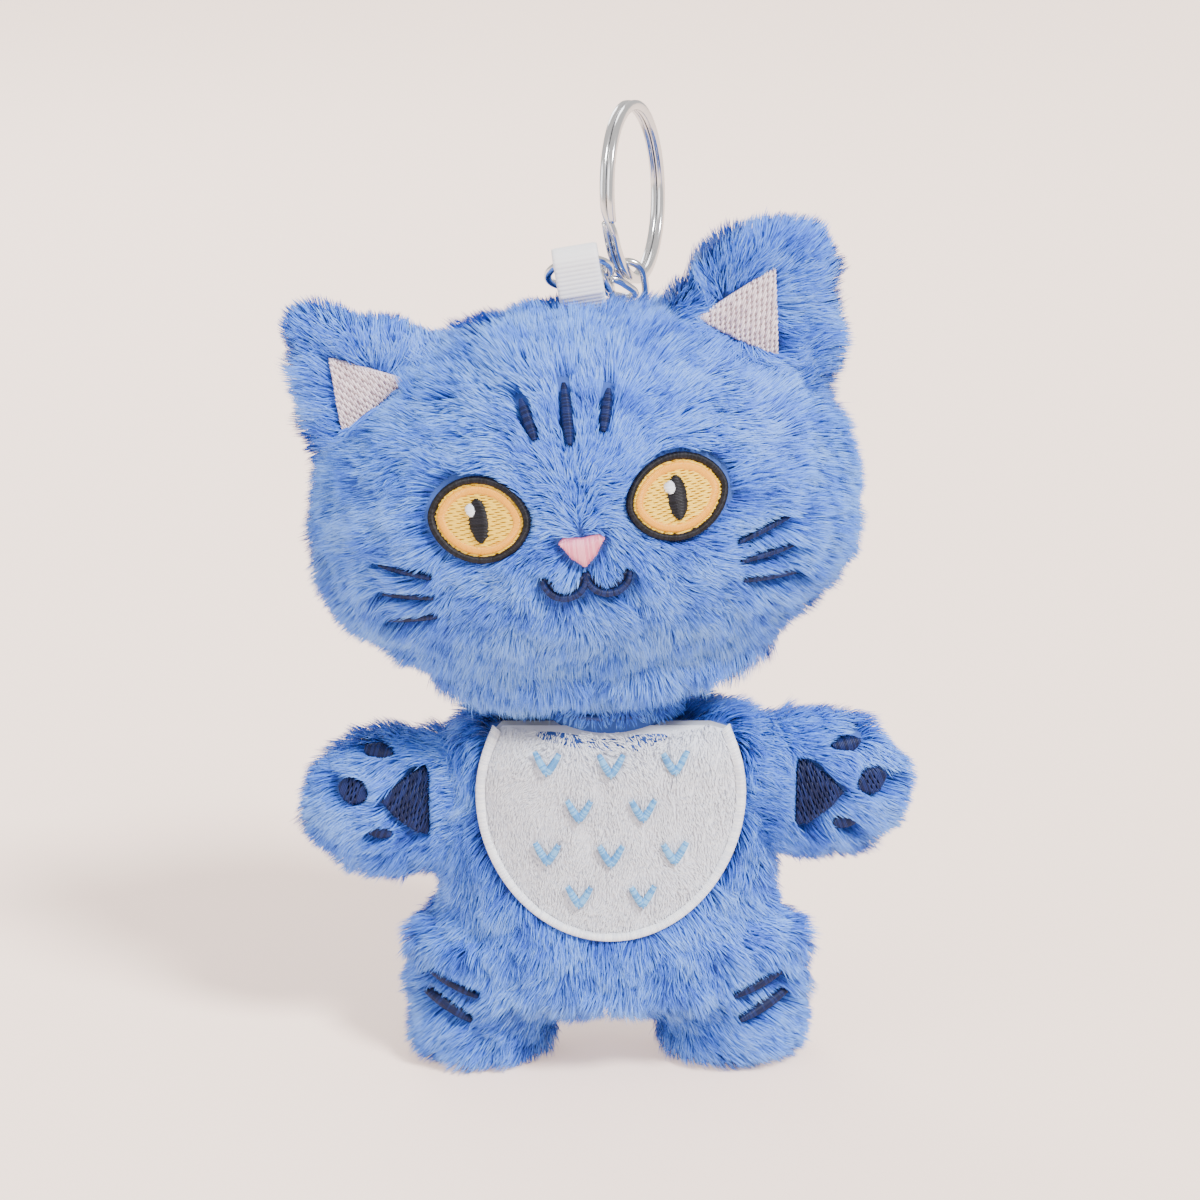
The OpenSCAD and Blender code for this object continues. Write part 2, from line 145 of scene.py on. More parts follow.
def add_object(name, me, materials, body):
    ob = new_object(name, me)
    for m in materials:
        me.materials.append(m)
    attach(ob, body)
    return ob


def quads_mesh(name, verts, quads, material_index=None):
    return new_mesh(name, verts, np.arange(len(quads)) * 4, quads.ravel(), material_index)


def quads_object(name, verts, quads, materials, body, material_index=None):
    return add_object(name, quads_mesh(name, verts, quads, material_index), materials, body)


def grid_quads(rows, columns, wrap=False):
    """Faces between neighbouring rows of vertices; wrap joins the last column to the first."""
    i, j = np.meshgrid(np.arange(rows - 1), np.arange(columns if wrap else columns - 1), indexing="ij")
    k = (j + 1) % columns
    cells = [i * columns + j, i * columns + k, (i + 1) * columns + k, (i + 1) * columns + j]
    return np.stack(cells, -1).reshape(-1, 4)


# ---- materials ----

def srgb(r, g, b):
    def lin(c):
        c /= 255
        return c / 12.92 if c <= 0.04045 else ((c + 0.055) / 1.055) ** 2.4
    return (lin(r), lin(g), lin(b), 1.0)


def material(name, colour, rough=0.7, sheen=0.0, metallic=0.0, specular=0.5, sheen_tint=(1, 1, 1, 1),
             bump=None):
    m = bpy.data.materials.new(name)
    m.use_nodes = True
    tree = m.node_tree
    p = tree.nodes["Principled BSDF"]
    settings = {"Base Color": colour, "Roughness": rough, "Metallic": metallic, "Specular IOR Level": specular,
                "Sheen Weight": sheen, "Sheen Roughness": 0.4, "Sheen Tint": sheen_tint}
    for key, value in settings.items():
        p.inputs[key].default_value = value
    if bump:
        scale, strength, distance = bump
        tex = tree.nodes.new("ShaderNodeTexNoise")
        tex.inputs["Scale"].default_value = scale
        tex.inputs["Detail"].default_value = 4
        node = tree.nodes.new("ShaderNodeBump")
        node.inputs["Strength"].default_value = strength
        node.inputs["Distance"].default_value = distance
        coords = tree.nodes.new("ShaderNodeTexCoord")
        tree.links.new(coords.outputs["Object"], tex.inputs["Vector"])
        tree.links.new(tex.outputs["Fac"], node.inputs["Height"])
        tree.links.new(node.outputs["Normal"], p.inputs["Normal"])
    return m


def shades(label, *colours, **look):
    """One material for each tone, darkest first."""
    return [material(f"{label}_{i}", srgb(*c), **look) for i, c in enumerate(colours)]


# Tones of one blue: blades take them at random, and each blade is darker at the root as painted shade and
# lighter at the tip as painted highlight
fur_materials = shades("fur_blue", (26, 56, 152), (40, 80, 196), (56, 104, 222), (74, 128, 240),
                       (94, 150, 252), (120, 172, 255), rough=0.55, sheen=0.3, specular=0.3,
                       sheen_tint=(0.6, 0.78, 1, 1))
backing = material("backing_cloth", srgb(58, 92, 172), rough=0.9, sheen=0.2, bump=(900, 0.3, 0.0004))
stuffing_mat = material("polyester_stuffing", srgb(236, 236, 232), rough=0.95, bump=(300, 0.6, 0.001))
# Tones of one white: in the belly nap each tuft is darker at the root as painted shade and lighter at the tip
# as painted highlight
felt_mats = shades("felt_white", (206, 212, 228), (226, 230, 242), (240, 243, 250), rough=0.8, sheen=0.3,
                   specular=0.3)
thread = {
    "white": shades("thread_white", (222, 227, 240), (240, 243, 250), rough=0.38, sheen=0.15),
    "navy": shades("thread_navy", (14, 24, 64), (24, 38, 90), rough=0.42, specular=0.25),
    "black": shades("thread_black", (14, 14, 20), (26, 26, 34), rough=0.42, specular=0.25),
    "amber": shades("thread_amber", (244, 168, 26), (252, 208, 58), rough=0.35),
    "pink": shades("thread_pink", (224, 206, 214), (240, 224, 230), rough=0.4),
    "nose": shades("thread_rose", (232, 130, 160), (244, 158, 180), rough=0.38),
    "light_blue": shades("thread_sky", (70, 142, 206), (112, 178, 230), rough=0.35),
}
sewing = material("sewing_thread", srgb(40, 62, 130), rough=0.5)
ribbon_mat = material("ribbon_grosgrain", srgb(240, 241, 246), rough=0.55, sheen=0.3)
steel = material("polished_steel", (0.74, 0.745, 0.76, 1), rough=0.16, metallic=1.0)


# ---- implicit shapes ----

def polygon_distance(x, y, pts):
    """Signed distance to a closed polygon, negative inside."""
    best = np.full(x.shape, 1e9)
    inside = np.zeros(x.shape, bool)
    n = len(pts)
    for i in range(n):
        ax, ay = pts[i]
        bx, by = pts[(i + 1) % n]
        ex, ey = bx - ax, by - ay
        wx, wy = x - ax, y - ay
        t = np.clip((wx * ex + wy * ey) / max(ex * ex + ey * ey, 1e-12), 0, 1)
        best = np.minimum(best, (wx - ex * t) ** 2 + (wy - ey * t) ** 2)
        if ay != by:
            inside ^= ((ay > y) != (by > y)) & (x < ex * wy / ey + ax)
    return np.where(inside, -np.sqrt(best), np.sqrt(best))


def profile_table(profile, step=0.25, margin=12):
    """Distance field of a revolved outline, read off a fine grid of radius and height."""
    pts = [tuple(p) for p in profile] + [(-r, z) for r, z in reversed(profile) if r > 1e-6]
    rs = np.arange(0, max(p[0] for p in profile) + margin, step)
    zs = np.arange(min(p[1] for p in profile) - margin, max(p[1] for p in profile) + margin, step)
    grid = polygon_distance(*np.meshgrid(rs, zs, indexing="ij"), pts)

    def lookup(r, z):
        i = np.clip(r / step, 0, len(rs) - 1.001)
        j = np.clip((z - zs[0]) / step, 0, len(zs) - 1.001)
        a, b = i.astype(int), j.astype(int)
        fa, fb = i - a, j - b
        return (grid[a, b] * (1 - fa) * (1 - fb) + grid[a + 1, b] * fa * (1 - fb)
                + grid[a, b + 1] * (1 - fa) * fb + grid[a + 1, b + 1] * fa * fb)
    return lookup


def ellipsoid_distance(p, size):
    a = np.linalg.norm(p / size, axis=-1)
    b = np.maximum(np.linalg.norm(p / size ** 2, axis=-1), 1e-6)
    return a * (a - 1) / b


def smooth_union(a, b, k):
    h = np.clip(0.5 + 0.5 * (b - a) / k, 0, 1)
    return b * (1 - h) + a * h - k * h * (1 - h)


def smooth_both(a, b, k):
    return -smooth_union(-a, -b, k)


def head_half_width(z):
    """Half width of the head at a height in its own frame."""
    z = np.asarray(z, float)
    up = HEAD_W * np.maximum(1 - np.clip(z / HEAD_H, 0, 1) ** CROWN_POWER, 0) ** (1 / CROWN_POWER)
    depth = CHIN_H - CHIN_R
    down = CHIN_W + (HEAD_W - CHIN_W) * np.cos(math.pi / 2 * np.clip(-z / depth, 0, 1) ** 1.5)
    low = np.clip((-z - depth) / CHIN_R, 0, 1)
    down = down - CHIN_R * (1 - np.sqrt(1 - low ** 2))
    return np.where(z > 0, up, down)


def head_profile():
    zs = np.concatenate([np.linspace(-CHIN_H, -CHIN_H + CHIN_R, 12), np.linspace(-CHIN_H + CHIN_R, 0, 14)[1:],
                         HEAD_H * np.sin(np.linspace(0, math.pi / 2, 24))[1:]])
    return [(0.0, -CHIN_H)] + [(float(head_half_width(z)), float(z)) for z in zs]


head_table = profile_table(head_profile())


def head_distance(q):
    k = HEAD_W / HEAD_D
    r = np.hypot(q[..., 0], q[..., 1] * k)
    return head_table(r, q[..., 2])


def rounded_polygon(x, z, outline, blend):
    """Distance to a convex outline whose corners are blended round."""
    pts = np.array(outline)
    middle = pts.mean(0)
    out = None
    for a, b in zip(pts, np.roll(pts, -1, 0)):
        n = np.array([b[1] - a[1], a[0] - b[0]]) / np.linalg.norm(b - a)
        n = n * np.sign((a - middle) @ n)
        side = (x - a[0]) * n[0] + (z - a[1]) * n[1]
        out = side if out is None else smooth_both(out, side, blend)
    return out


def ear_distance(q, side, outline):
    mx, mz = EAR_MID[side]
    lens = ellipsoid_distance(q - np.array([mx, EAR_Y, mz]), EAR_LENS)
    flat = rounded_polygon(q[..., 0], q[..., 2], outline, 5.5)
    return smooth_both(lens, flat + 0.2, 2.6)


def torso_half_width(z):
    top = np.clip((np.asarray(z, float) - (TORSO_TOP - SHOULDER_R)) / SHOULDER_R, 0, 1)
    return TORSO_W - SHOULDER_R * (1 - np.sqrt(np.maximum(1 - top ** 2, 0)))


def torso_profile():
    rise = SHOULDER_R * np.sin(np.linspace(0, math.pi / 2, 16))
    zs = np.concatenate([[HIP_Z - 4], TORSO_TOP - SHOULDER_R + rise])
    return [(0.0, HIP_Z - 4)] + [(float(torso_half_width(z)), float(z)) for z in zs]


torso_table = profile_table(torso_profile())


def leg_distance(p, side):
    r = np.hypot(p[..., 0] - side * LEG_X, p[..., 1])
    dr, dz = r - (LEG_R - SOLE_R), (SOLE_R - p[..., 2])
    low = np.hypot(np.maximum(dr, 0), np.maximum(dz, 0)) + np.minimum(np.maximum(dr, dz), 0) - SOLE_R
    return np.maximum(low, p[..., 2] - HIP_MID - 1)


def torso_distance(p):
    k = TORSO_W / TORSO_D
    body = torso_table(np.hypot(p[..., 0], p[..., 1] * k), p[..., 2])
    hip = ellipsoid_distance(p - np.array([0, 0, HIP_MID]), HIP_SIZE)
    legs = smooth_union(leg_distance(p, LEFT), leg_distance(p, RIGHT), 5.0)
    return smooth_union(smooth_union(body, hip, 2.5), legs, 4.5)


def arm_distance(p, side):
    z = SHOULDER_Z[side]
    root = ellipsoid_distance(p - np.array([side * SHOULDER_X, 0, z]), SHOULDER_SIZE)
    free = ellipsoid_distance(p - np.array([side * ARM_X, 0, z - ARM_DROP]), ARM_SIZE)
    return smooth_union(root, free, 3.0)


def surface_nets(field, origin, step):
    """Quad mesh of the zero surface of a field sampled on a grid."""
    shape = np.array(field.shape)
    total = np.zeros(tuple(shape - 1) + (3,))
    count = np.zeros(tuple(shape - 1))
    crossings = []
    for axis in range(3):
        u, v = (axis + 1) % 3, (axis + 2) % 3
        low, high = [slice(None)] * 3, [slice(None)] * 3
        low[axis], high[axis] = slice(0, -1), slice(1, None)
        a, b = field[tuple(low)], field[tuple(high)]
        cross = (a < 0) != (b < 0)
        t = np.where(cross, a / np.where(cross, a - b, 1), 0)
        crossings.append((cross, a < 0, u, v))
        for du in (0, 1):
            for dv in (0, 1):
                part = [slice(None)] * 3
                part[u], part[v] = slice(du, shape[u] - 1 + du), slice(dv, shape[v] - 1 + dv)
                c = cross[tuple(part)]
                count += c
                total[..., axis] += np.where(c, t[tuple(part)], 0)
                total[..., u] += c * du
                total[..., v] += c * dv
    active = count > 0
    index = np.full(active.shape, -1, np.int64)
    index[active] = np.arange(active.sum())
    verts = (total[active] / count[active][:, None] + np.argwhere(active)) * step + origin
    quads = []
    for axis, (cross, inside_low, u, v) in enumerate(crossings):
        part = [slice(None)] * 3
        part[u], part[v] = slice(1, -1), slice(1, -1)
        spots = np.argwhere(cross[tuple(part)])
        flips = inside_low[tuple(part)][tuple(spots.T)]
        ring = []
        for du, dv in ((0, 0), (1, 0), (1, 1), (0, 1)):
            c = spots.copy()
            c[:, u] += du
            c[:, v] += dv
            ring.append(index[tuple(c.T)])
        q = np.stack(ring, 1)
        quads.append(np.where(flips[:, None], q, q[:, ::-1]))
    return verts, np.concatenate(quads)


class Skin:
    """The backing cloth of one stuffed piece: the surface a little inside a field, with its normals."""
    BIG, VOXEL, PRESSURE, FRAMES, SEAM = 10, 0.04, 10, 20, 2.0   # for the cloth simulation
    SMOOTHING_ROUNDS = 2

    def __init__(self, field, low, high, step, depth=SKIN_DEPTH):
        axes = [np.arange(a, b, step) for a, b in zip(low, high)]
        grid = np.stack(np.meshgrid(*axes, indexing="ij"), -1)
        values = field(grid)
        slope = np.stack(np.gradient(values, step), -1)
        steep = np.maximum(np.linalg.norm(slope, axis=-1), 0.25)
        values = values / steep
        bumps = noise(grid.reshape(-1, 3), 17, 5).reshape(values.shape) * 0.22
        self.verts, self.quads = surface_nets(values + depth + bumps, np.array(low, float), step)
        for _ in range(self.SMOOTHING_ROUNDS):
            self.relax()
        self.normals = self.vertex_normals()

    def stuff(self):
        """A short cloth simulation: the stuffing presses the backing out, and the seam line holds it back.

        It runs on a coarse copy ten times as large, where Blender's cloth behaves; the fine mesh follows it.
        """
        ob = new_object("coarse_cloth", quads_mesh("coarse_cloth", self.verts * self.BIG, self.quads))
        remesh = ob.modifiers.new("remesh", "REMESH")
        remesh.mode, remesh.voxel_size = "VOXEL", self.VOXEL
        graph = bpy.context.evaluated_depsgraph_get()
        ob.data = bpy.data.meshes.new_from_object(ob.evaluated_get(graph))
        ob.modifiers.clear()
        rest = mesh_points(ob.data) / self.BIG
        seam = ob.vertex_groups.new(name="seam")
        seam.add(np.flatnonzero(np.abs(rest[:, 1]) < self.SEAM).tolist(), 1.0, "REPLACE")
        cloth = ob.modifiers.new("cloth", "CLOTH")
        cloth.settings.use_pressure = True
        cloth.settings.uniform_pressure_force = self.PRESSURE
        cloth.settings.vertex_group_mass = "seam"
        cloth.settings.effector_weights.gravity = 0
        cloth.point_cache.frame_start, cloth.point_cache.frame_end = 1, self.FRAMES
        for step in range(1, self.FRAMES + 1):
            bpy.context.scene.frame_set(step)
        swollen = mesh_points(ob.evaluated_get(bpy.context.evaluated_depsgraph_get()).data) / self.BIG
        bpy.context.scene.frame_set(1)
        bpy.data.objects.remove(ob)
        move = swollen - rest
        size = np.linalg.norm(move, axis=1, keepdims=True)
        move = move * np.minimum(1, SWELL_CAP / np.maximum(size, 1e-9))
        tree = kdtree.KDTree(len(rest))
        for i, place in enumerate(rest):
            tree.insert(place, i)
        tree.balance()
        for i, place in enumerate(self.verts):
            near = tree.find_n(place, 6)
            weight = np.array([1 / (d + 0.8) ** 2 for _, _, d in near])
            push = (move[[k for _, k, _ in near]] * weight[:, None]).sum(0) / weight.sum()
            self.verts[i] += np.round(push, 2)
        self.normals = self.vertex_normals()

    def relax(self):
        """One round of smoothing, which takes out the steps of the grid."""
        q = self.quads
        near = np.zeros_like(self.verts)
        count = np.zeros(len(self.verts))
        for i in range(4):
            np.add.at(near, q[:, i], self.verts[q[:, (i + 1) % 4]] + self.verts[q[:, (i + 3) % 4]])
            np.add.at(count, q[:, i], 2)
        self.verts = self.verts * 0.5 + 0.5 * near / count[:, None]

    def vertex_normals(self):
        q = self.quads
        d = np.cross(self.verts[q[:, 2]] - self.verts[q[:, 0]], self.verts[q[:, 3]] - self.verts[q[:, 1]])
        n = np.zeros_like(self.verts)
        for i in range(4):
            np.add.at(n, q[:, i], d)
        return unit(n)

    def scatter(self, number, seed):
        """Evenly random places on the surface, with their normals."""
        r = np.random.default_rng(seed)
        q, v = self.quads, self.verts
        area = 0.5 * np.linalg.norm(np.cross(v[q[:, 2]] - v[q[:, 0]], v[q[:, 3]] - v[q[:, 1]]), axis=1)
        pick = r.choice(len(q), size=number, p=area / area.sum())
        s, t = r.random(number)[:, None], r.random(number)[:, None]

        def blend(values):
            a, b, c, d = (values[q[pick, i]] for i in range(4))
            return (a * (1 - s) + b * s) * (1 - t) + (d * (1 - s) + c * s) * t
        return blend(v), unit(blend(self.normals))


# ---- pile ----

BLADE_CAP = 39900   # each blade is five triangles, so a piece stays under 200,000
FLOOR_Z = 0.05      # no blade reaches lower than the soles
TIP_GAP = -0.05     # tips may reach this far over the edge of embroidery


def outward_reach(points, normals, direction, lengths, avoid):
    """The share of its length that each blade can have before it leans over the embroidery."""
    share = np.ones(len(points))
    near = np.flatnonzero(avoid(points, normals) < 4.5)
    share[near] = 0.16
    for s in (0.24, 0.34, 0.45, 0.56, 0.67, 0.78, 0.89, 1.0):
        reached = points[near] + direction[near] * (lengths[near] * s)[:, None]
        near = near[avoid(reached, normals[near]) > TIP_GAP]
        share[near] = s
    return share


def grow_pile(name, roots, normals, flow, length, body, avoid=None, width=0.2, lean=(42, 76),
              per_clump=9, pull=(0.15, 0.6), seed=0, materials=None, shade_mid=0.5):
    """Pile as thin tapered blades, bent along the flow and drawn together into tufts."""
    materials = materials or fur_materials
    r = np.random.default_rng(seed)
    if avoid is not None:
        free = avoid(roots, normals) > 0.1
        roots, normals, flow = roots[free], normals[free], flow[free]
        length = length[free] if np.ndim(length) else length
    n = len(roots)
    along = unit(flow - (flow * normals).sum(1, keepdims=True) * normals)
    side = np.cross(along, normals)
    swirl = noise(roots, 11, seed + 1) * 0.4 + noise(roots, 3.5, seed + 2) * 0.25 + r.normal(0, 0.2, n)
    along = along * np.cos(swirl)[:, None] + side * np.sin(swirl)[:, None]
    lengths = length * (1 + 0.16 * noise(roots, 4.0, seed + 3) + r.normal(0, 0.1, n))
    tilt = np.radians(lean[0] + 9 * noise(roots, 5.0, seed + 4) + r.normal(0, 8, n))
    agree = np.clip((unit(flow) * normals).sum(1), 0, 1)
    # Where the cloth already faces the way the pile runs, the pile stands straight
    tilt = tilt * (1 - 0.75 * agree)
    tip_tilt = tilt + np.radians((lean[1] - lean[0]) * (1 - 0.6 * agree))
    low = normals * np.cos(tilt)[:, None] + along * np.sin(tilt)[:, None]
    high = normals * np.cos(tip_tilt)[:, None] + along * np.sin(tip_tilt)[:, None]
    free_share = np.ones(n)
    if avoid is not None:
        free_share = outward_reach(roots, normals, unit(low + high), lengths, avoid)
        lengths = lengths * free_share
    bend1 = roots + low * (lengths * 0.36)[:, None]
    bend2 = bend1 + unit(low + high) * (lengths * 0.34)[:, None]
    tip = bend2 + high * (lengths * 0.3)[:, None]
    centres = max(1, n // per_clump)
    tree = kdtree.KDTree(centres)
    for i in range(centres):
        tree.insert(roots[i], i)
    tree.balance()
    near = np.array([tree.find(p)[1] for p in roots])
    strength = (r.uniform(pull[0], pull[1], centres)[near] * np.where(free_share < 1, 0.15, 1))[:, None]
    bend2 = bend2 + (bend2[near] - bend2) * strength * 0.45
    tip = tip + (tip[near] - tip) * strength
    direction = unit(tip - roots)
    across = unit(np.cross(direction, normals))
    roll = r.normal(0, 0.4, n)[:, None]
    across = across * np.cos(roll) + np.cross(direction, across) * np.sin(roll)
    half = (width * (0.8 + 0.4 * r.random(n)) / 2)[:, None]
    across_half = across * half
    verts = np.stack([roots - across_half, roots + across_half, bend1 - across_half, bend1 + across_half,
                      bend2 - across_half * 0.7, bend2 + across_half * 0.7, tip], 1)
    verts[..., 2] = np.maximum(verts[..., 2], FLOOR_Z)
    face = unit(np.cross(across, direction))
    face = np.where((face * normals).sum(1, keepdims=True) < 0, -face, face)
    middle = unit(0.7 * normals + 0.3 * face)
    sides = np.array([-1, 1, -1, 1, -1, 1, 0.0])[None, :, None] * across[:, None, :] * 0.45
    vertex_normals = unit(middle[:, None, :] + sides)
    tone = shade_mid + 0.2 * noise(roots, 6, seed + 5) + r.normal(0, 0.17, n)
    tone = tone + (r.random(centres)[near] - 0.5) * 0.3
    top = len(materials) - 1
    shade = np.clip(np.round(2 + tone * (top - 1)), 1, top).astype(int)
    corner = np.array([0, 1, 3, 2, 2, 3, 5, 4, 4, 5, 6])
    objects = []
    order = np.argsort(np.arctan2(roots[:, 1], roots[:, 0]) if n > BLADE_CAP else np.arange(n), kind="stable")
    chunks = max(1, math.ceil(n / BLADE_CAP))
    for c in range(chunks):
        pick = order[c * n // chunks:(c + 1) * n // chunks]
        m = len(pick)
        corners = (np.arange(m)[:, None] * 7 + corner[None, :]).ravel()
        starts = (np.arange(m)[:, None] * 11 + np.array([0, 4, 8])[None, :]).ravel()
        # Painted shade: each blade's root takes a tone two steps darker than its tip, and its middle one step
        # darker; the lighter tips are painted highlight
        painted_shade_steps = [np.clip(shade[pick] - down, 0, top) for down in (2, 1, 0)]   # from root to tip
        me = new_mesh(name, verts[pick].reshape(-1, 3), starts, corners, np.stack(painted_shade_steps, 1).ravel())
        me.normals_split_custom_set_from_vertices(vertex_normals[pick].reshape(-1, 3).tolist())
        label = f"{name}_{c + 1}" if chunks > 1 else name
        objects.append(add_object(label, me, materials, body))
    return objects


# ---- embroidery ----

def front_surface(depth, place=lambda p: p, turn=lambda v: v):
    """A way to put a flat drawing (x, z) on the front of a piece: gives points and outward normals."""
    def lay(xz):
        x, z = xz[..., 0], xz[..., 1]
        e = 0.05
        y = depth(x, z)
        slope_x = (depth(x + e, z) - depth(x - e, z)) / (2 * e)
        slope_z = (depth(x, z + e) - depth(x, z - e)) / (2 * e)
        return place(np.stack([x, y, z], -1)), turn(unit(np.stack([slope_x, -np.ones_like(x), slope_z], -1)))
    return lay


def head_depth(x, z):
    return -HEAD_D / HEAD_W * np.sqrt(np.maximum(head_half_width(z) ** 2 - x ** 2, 1.0))


def lens_depth(x, z, middle, size, least=0.0):
    """Front of an ellipsoid, over the drawing plane."""
    inside = 1 - ((x - middle[0]) / size[0]) ** 2 - ((z - middle[1]) / size[2]) ** 2
    return -size[1] * np.sqrt(np.maximum(inside, least))


def ear_depth(side):
    return lambda x, z: EAR_Y + lens_depth(x, z, EAR_MID[side], EAR_LENS, 0.02)


def torso_depth(x, z):
    body = -TORSO_D / TORSO_W * np.sqrt(np.maximum(torso_half_width(z) ** 2 - x ** 2, 1.0))
    return np.minimum(body, lens_depth(x, z, (0, HIP_MID), HIP_SIZE))


def arm_depth(side):
    free, root = (side * ARM_X, SHOULDER_Z[side] - ARM_DROP), (side * SHOULDER_X, SHOULDER_Z[side])
    return lambda x, z: np.minimum(lens_depth(x, z, free, ARM_SIZE, 0.02),
                                   lens_depth(x, z, root, SHOULDER_SIZE))


def leg_depth(side):
    def depth(x, z):
        leg = -np.sqrt(np.maximum(LEG_R ** 2 - (x - side * LEG_X) ** 2, 1.0))
        return np.minimum(leg, lens_depth(x, z, (0, HIP_MID), HIP_SIZE))
    return depth


on_head = front_surface(head_depth, head_to_world, head_dir)
on_ear = {s: front_surface(ear_depth(s), head_to_world, head_dir) for s in BOTH}
on_torso = front_surface(torso_depth)
on_arm = {s: front_surface(arm_depth(s)) for s in BOTH}
on_leg = {s: front_surface(leg_depth(s)) for s in BOTH}


def fill(outline, angle, pitch, longest=None, seed=0):
    """Parallel stitches that fill an outline; long ones are broken, each row at another place."""
    r = np.random.default_rng(seed)
    a = math.radians(angle)
    turn = np.array([[math.cos(a), math.sin(a)], [-math.sin(a), math.cos(a)]])
    pts = np.asarray(outline, float) @ turn.T
    lines = []
    rows = np.arange(pts[:, 1].min() + pitch / 2, pts[:, 1].max(), pitch)
    for row, y in enumerate(rows):
        hits = []
        for i in range(len(pts)):
            (x0, y0), (x1, y1) = pts[i], pts[(i + 1) % len(pts)]
            if (y0 > y) != (y1 > y):
                hits.append(x0 + (x1 - x0) * (y - y0) / (y1 - y0))
        hits.sort()
        for start, end in zip(hits[::2], hits[1::2]):
            start, end = start + r.normal(0, 0.04), end + r.normal(0, 0.04)
            cuts = [start]
            if longest and end - start > longest:
                first = start + longest * ((row * 0.382) % 1 * 0.8 + 0.2)
                cuts += list(np.arange(first, end - 0.3, longest))
            cuts.append(end)
            for c0, c1 in zip(cuts[:-1], cuts[1:]):
                lines.append(np.array([[c0, y], [c1, y]]) @ turn)
    return np.array(lines)


def satin(path, width, pitch, taper=(1, 1), slant=0.0):
    """Stitches across a path, side by side; taper gives the width left at its two ends."""
    path = np.asarray(path, float)
    steps = np.linalg.norm(np.diff(path, axis=0), axis=1)
    dist = np.concatenate([[0], np.cumsum(steps)])
    number = max(3, int(dist[-1] / pitch))
    at = (np.arange(number) + 0.5) / number * dist[-1]
    mid = np.stack([np.interp(at, dist, path[:, i]) for i in (0, 1)], 1)
    ahead = unit(np.stack([np.interp(at + 0.05, dist, path[:, i]) - np.interp(at - 0.05, dist, path[:, i])
                           for i in (0, 1)], 1))
    across = np.stack([-ahead[:, 1], ahead[:, 0]], 1) + ahead * slant
    t = at / dist[-1]
    grow = np.minimum(1, np.minimum(taper[0] + (1 - taper[0]) * np.sqrt(np.clip(t * 3, 0, 1)),
                                    taper[1] + (1 - taper[1]) * np.sqrt(np.clip((1 - t) * 3, 0, 1))))
    half = across * (width / 2) * grow[:, None]
    return np.stack([mid - half, mid + half], 1)


def closed(points):
    points = list(map(tuple, points))
    return points + [points[0]]


PUFF = 0.22         # how far the middle of a stitch stands up
PAD_BOTTOM = -2.4   # where the pressed pile under embroidery ends
STATIONS, ROUND, THICK = 6, 5, 0.24   # points along a stitch, points round it, and its diameter


def pad(name, lay, outline, top, bottom, mat, body):
    """A plug of pressed pile and backing under embroidery, from bottom up to top."""
    outline = np.asarray(outline, float)
    middle = outline.mean(0)
    rings = 7
    verts = []
    for i in range(rings):
        points, normals = lay(middle + (outline - middle) * max(i / (rings - 1), 0.02))
        verts.append(points + normals * top)
    points, normals = lay(outline)
    verts.append(points + normals * bottom)
    quads = grid_quads(rings + 1, len(outline), wrap=True)
    quads_object(name, np.concatenate(verts), quads, [mat], body)


def strokes(paths, width, rise, puff=PUFF, **look):
    """Satin layers, one along each path."""
    return [(satin(p, width, 0.17, **look), [0, 1], rise, puff) for p in paths]


def embroider(label, lay, layers, tones, body, node, ground, lift=-0.5, top=-0.62, under=0):
    """Layers of stitches on plugs of pressed pile; a layer is lines, their tones, rise and puff."""
    r = np.random.default_rng(77)
    cell, s = grid_quads(STATIONS, ROUND), np.linspace(0, 1, STATIONS)
    angle = np.linspace(0, math.pi, ROUND)[None, None, :, None]
    bulge, tuck = 1 - np.abs(2 * s - 1) ** 3, 0.3 * (np.abs(2 * s - 1) > 0.99)
    verts, quads, index, count = [], [], [], 0
    for lines, pick, rise, puff in layers:
        n = len(lines)
        points, normals = lay(lines[:, None, 0] + (lines[:, None, 1] - lines[:, None, 0]) * s[None, :, None])
        centre = points + normals * (lift + rise + puff * bulge - tuck)[None, :, None]
        side = unit(np.cross(unit(np.gradient(centre, axis=1)), normals))
        radius = THICK / 2 * r.uniform(0.9, 1.1, n)[:, None, None, None]
        ring = side[:, :, None, :] * np.cos(angle) + normals[:, :, None, :] * np.sin(angle) * 0.9
        verts.append((centre[:, :, None, :] + ring * radius).reshape(-1, 3))
        quads.append((cell[None] + (np.arange(n) * STATIONS * ROUND)[:, None, None] + count).reshape(-1, 4))
        index.append(np.repeat(np.array(pick)[r.integers(0, len(pick), n)], len(cell)))
        count += n * STATIONS * ROUND
    work = quads_object(f"{label}_stitches", np.concatenate(verts), np.concatenate(quads), tones, body,
                        np.concatenate(index))
    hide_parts(node)
    for i, outline in enumerate(ground):
        name = f"{label}_backing" if len(ground) == 1 else f"{label}_backing_{i + 1}"
        pad(name, lay, outline, top, PAD_BOTTOM, tones[under], body)


def embroider_navy(label, lay, layers, body, node, ground):
    embroider(label, lay, layers, thread["navy"], body, node, ground)


def oval(cx, cz, a, b, n=40, power=1.0, tilt=0.0):
    t = np.linspace(0, TURN, n, endpoint=False)
    x, z = a * np.cos(t), b * np.sign(np.sin(t)) * np.abs(np.sin(t)) ** power
    c, s = math.cos(tilt), math.sin(tilt)
    return np.stack([cx + x * c - z * s, cz + x * s + z * c], 1)


def grown(outline, by):
    """An outline moved outwards along its own normals."""
    p = np.asarray(outline, float)
    d = np.roll(p, -1, 0) - np.roll(p, 1, 0)
    n = np.stack([d[:, 1], -d[:, 0]], 1)
    area = 0.5 * np.sum(p[:, 0] * np.roll(p[:, 1], -1) - np.roll(p[:, 0], -1) * p[:, 1])
    return p + np.sign(area) * by * n / np.maximum(np.linalg.norm(n, axis=1, keepdims=True), 1e-9)


